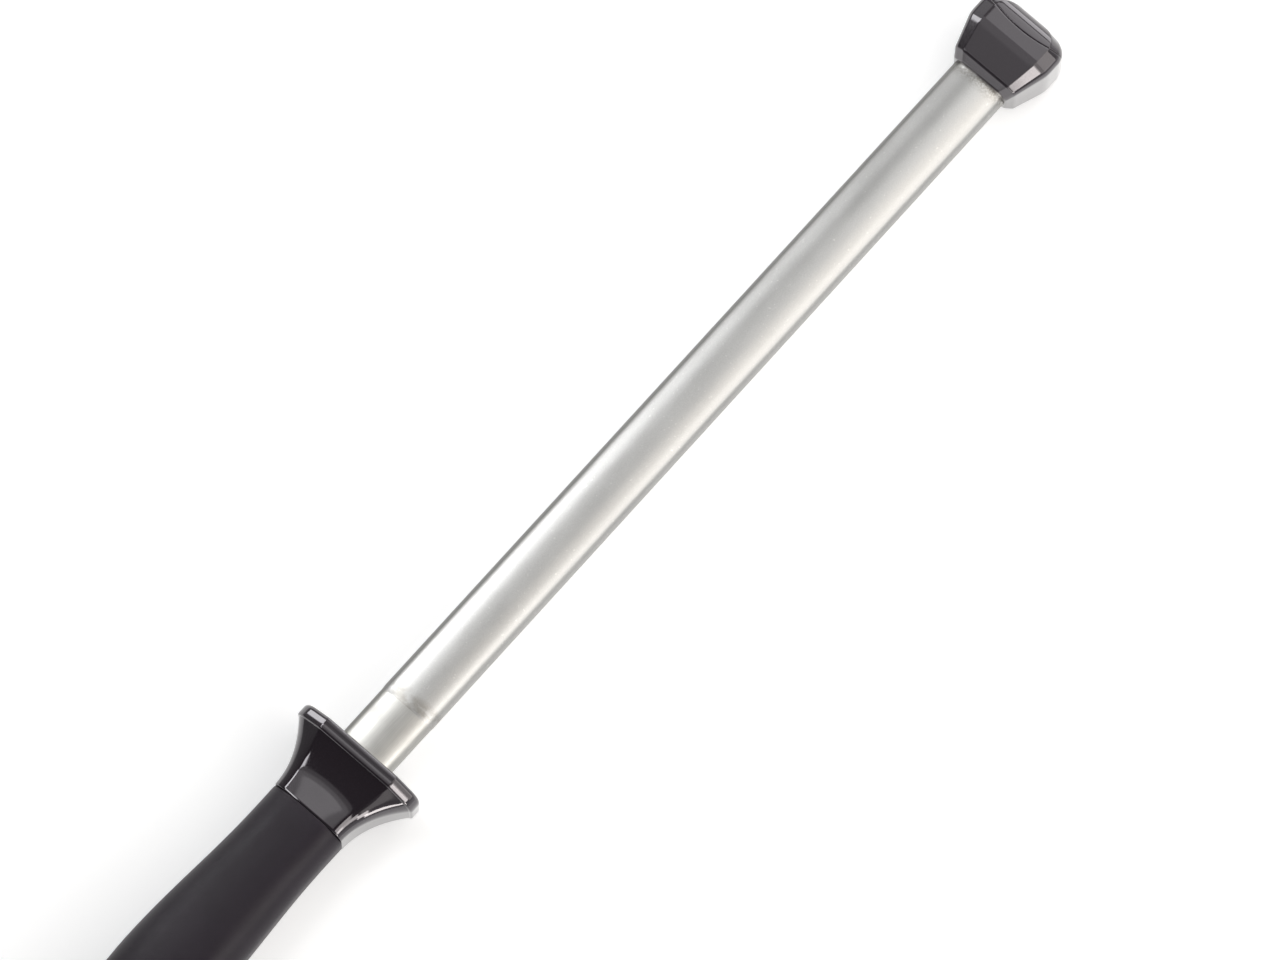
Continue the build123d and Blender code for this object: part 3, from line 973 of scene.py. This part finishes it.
def build_camera():
    """Long lens from above the handle's end."""
    back = Vector(
        (
            sin(camera_azimuth) * cos(camera_elevation),
            -cos(camera_azimuth) * cos(camera_elevation),
            sin(camera_elevation),
        )
    )
    right = Vector((cos(camera_azimuth), sin(camera_azimuth), 0))
    up = back.cross(right)
    data = bpy.data.cameras.new("camera")
    data.sensor_width = sensor_width
    data.lens = sensor_width * camera_distance / view_width
    data.clip_end = far_clip
    camera = bpy.data.objects.new("camera", data)
    turn = Matrix((right, up, back)).transposed().to_4x4()
    camera.matrix_world = Matrix.Translation(camera_aim + back * camera_distance) @ turn
    bpy.context.scene.collection.objects.link(camera)
    bpy.context.scene.camera = camera


def seen_directly(tree):
    """1 for rays from the camera, from gloss and through clear pieces, and 0 for the rest."""
    path = add_node(tree, "ShaderNodeLightPath").outputs
    first = calculate(tree, "MAXIMUM", path["Is Camera Ray"], path["Is Glossy Ray"])
    return calculate(tree, "MAXIMUM", first, path["Is Transmission Ray"])


def build_floor():
    """White surface that keeps the object's soft shadow."""
    mesh = bpy.data.meshes.new("floor")
    signs = ((-1, -1), (1, -1), (1, 1), (-1, 1))
    corners = [(x * floor_half, y * floor_half, -floor_drop) for x, y in signs]
    mesh.from_pydata(corners, [], [(0, 1, 2, 3)])
    floor = bpy.data.objects.new("floor", mesh)
    bpy.context.scene.collection.objects.link(floor)
    material = bpy.data.materials.new("floor")
    material.use_nodes = True
    tree = material.node_tree
    tree.nodes.clear()
    diffuse = add_node(tree, "ShaderNodeBsdfDiffuse", {"Color": grey(floor_tone)})
    glow_level = calculate(tree, "MULTIPLY", seen_directly(tree), floor_glow)
    glow = add_node(tree, "ShaderNodeEmission", {"Color": grey(1.0), "Strength": glow_level})
    both = add_node(tree, "ShaderNodeAddShader", {0: diffuse.outputs[0], 1: glow.outputs[0]})
    add_node(tree, "ShaderNodeOutputMaterial", {"Surface": both.outputs[0]})
    mesh.materials.append(material)


def build_world():
    """Room that is white at the horizon, bright above it, and dim overhead, behind and beyond."""
    world = bpy.data.worlds.new("studio")
    bpy.context.scene.world = world
    world.use_nodes = True
    tree = world.node_tree
    tree.nodes.clear()
    way = add_node(tree, "ShaderNodeTexCoord").outputs["Generated"]
    parts = add_node(tree, "ShaderNodeSeparateXYZ", {0: way}).outputs
    level = remap(tree, parts["Z"], 0.0, zenith_from, horizon_level, zenith_level)
    behind = remap(tree, parts["X"], *behind_ends, behind_share, 1.0)
    beyond = remap(tree, parts["Y"], *beyond_ends, 1.0, beyond_share)
    room = calculate(tree, "MULTIPLY", calculate(tree, "MULTIPLY", level, behind), beyond)
    low_down = remap(tree, parts["Z"], white_up_to, white_up_to + white_fade, 1, 0)
    strength = add_node(tree, "ShaderNodeMix", {0: low_down, 2: room, 3: 1.0}).outputs[0]
    shine = add_node(tree, "ShaderNodeBackground", {"Color": grey(1.0), "Strength": strength})
    add_node(tree, "ShaderNodeOutputWorld", {"Surface": shine.outputs[0]})


def soft_box(name, middle, size, level, colour=(1, 1, 1), aim=None):
    """Area light with its first side along the rod, facing its aim, or straight down.

    Sizes are in metres, and level is how bright its face looks, white being 1.
    """
    data = bpy.data.lights.new(name, "AREA")
    data.shape = "RECTANGLE"
    data.size, data.size_y = size
    data.energy = level * pi * size[0] * size[1]
    data.color = colour
    lamp = bpy.data.objects.new(name, data)
    back = (Vector(middle) - Vector(aim)).normalized() if aim else Vector((0, 0, 1))
    along = Vector((1, 0, 0)) - back * back.x
    along.normalize()
    turn = Matrix((along, back.cross(along), back)).transposed().to_4x4()
    lamp.matrix_world = Matrix.Translation(middle) @ turn
    lamp.visible_camera = False
    bpy.context.scene.collection.objects.link(lamp)


def build_lights():
    """Cool boxes beyond the rod, warm ones on the near side, panels overhead, and two end boxes."""
    soft_box("left_box", (0.165, 0.65, 0.50), (0.15, 0.58), 4.4, cool, aim=(0.165, 0, 0))
    soft_box("left_tail", (0.45, 0.65, 0.50), (0.42, 0.58), 0.50, cool, aim=(0.45, 0, 0))
    soft_box("right_key", (0.045, -0.60, 0.50), (0.07, 0.15), 6.0, warm, aim=(0.05, 0, 0))
    soft_box("right_key_collar", (-0.055, -0.60, 0.50), (0.13, 0.15), 3.2, warm, aim=(0.05, 0, 0))
    soft_box("right_key_middle", (-0.175, -0.67, 0.43), (0.13, 0.15), 5.0, warm, aim=(0, 0, 0))
    soft_box("right_key_low", (-0.42, -0.75, 0.35), (0.42, 0.13), 7.5, warm, aim=(0, 0, 0))
    soft_box("collar_bar", (0.0, -0.38, 0.50), (0.07, 0.22), 2.6, warm)
    soft_box("right_key_end", (0.095, -0.62, 0.53), (0.04, 0.17), 3.2, warm, aim=(0.05, 0, 0))
    soft_box("right_key_start", (-0.30, -0.58, 0.52), (0.30, 0.12), 0.6, warm, aim=(0.05, 0, 0))
    soft_box("right_box_near", (0.19, -0.60, 0.50), (0.16, 0.34), 1.0, warm, aim=(0.05, 0, 0))
    soft_box("right_box_far", (0.43, -0.60, 0.50), (0.32, 0.40), 1.5, warm, aim=(0.28, 0, 0))
    soft_box("right_shelf_near", (0.115, -0.26, 0.50), (0.11, 0.32), 0.75, warm)
    soft_box("right_shelf_middle", (0.235, -0.26, 0.50), (0.13, 0.32), 1.05, warm)
    soft_box("right_shelf_far", (0.60, -0.26, 0.50), (0.60, 0.32), 1.32, warm)
    soft_box("collar_panel_dim", (-0.0015, 0.085, 0.50), (0.025, 0.40), 0.28)
    soft_box("collar_panel_mid", (0.023, 0.085, 0.50), (0.024, 0.40), 0.58)
    soft_box("collar_panel", (0.05, 0.015, 0.50), (0.03, 0.26), 1.1)
    soft_box("collar_spot", (0.030, 0.285, 0.50), (0.07, 0.21), 6.0, cool)
    soft_box("grip_sheen", (-0.045, 0.215, 0.50), (0.10, 0.17), 4.6, cool)
    soft_box("rim_panel", (0.0775, 0.085, 0.50), (0.025, 0.40), 0.32)
    soft_box("face_panel", (0.11, 0.085, 0.50), (0.04, 0.40), 0.25)
    soft_box("face_panel_end", (0.1475, 0.085, 0.50), (0.035, 0.40), 0.43)
    soft_box("rod_panel", (0.255, 0.085, 0.50), (0.18, 0.40), 0.60)
    soft_box("tip_panel", (0.4275, -0.0025, 0.50), (0.165, 0.225), 1.13)
    soft_box("tip_panel_dim", (0.4275, 0.28, 0.50), (0.165, 0.34), 0.25)
    soft_box("end_panel", (0.76, 0.0, 0.50), (0.50, 0.33), 1.35)
    soft_box("front_box", (1.25, 0.20, 0.30), (0.34, 0.60), 2.2, aim=(0.20, 0, 0))
    soft_box("fill_box", (-0.90, -0.50, 0.55), (0.50, 0.80), 0.5, warm, aim=(0, 0, 0))


build_grip()
build_guard_body()
build_guard_rim()
build_butt()
build_ring()
build_tip_cap()
build_tip_foot()
build_rod()
build_grit()
dress_cad_nodes()
build_camera()
build_floor()
build_world()
build_lights()
bpy.context.scene.view_settings.view_transform = "Standard"
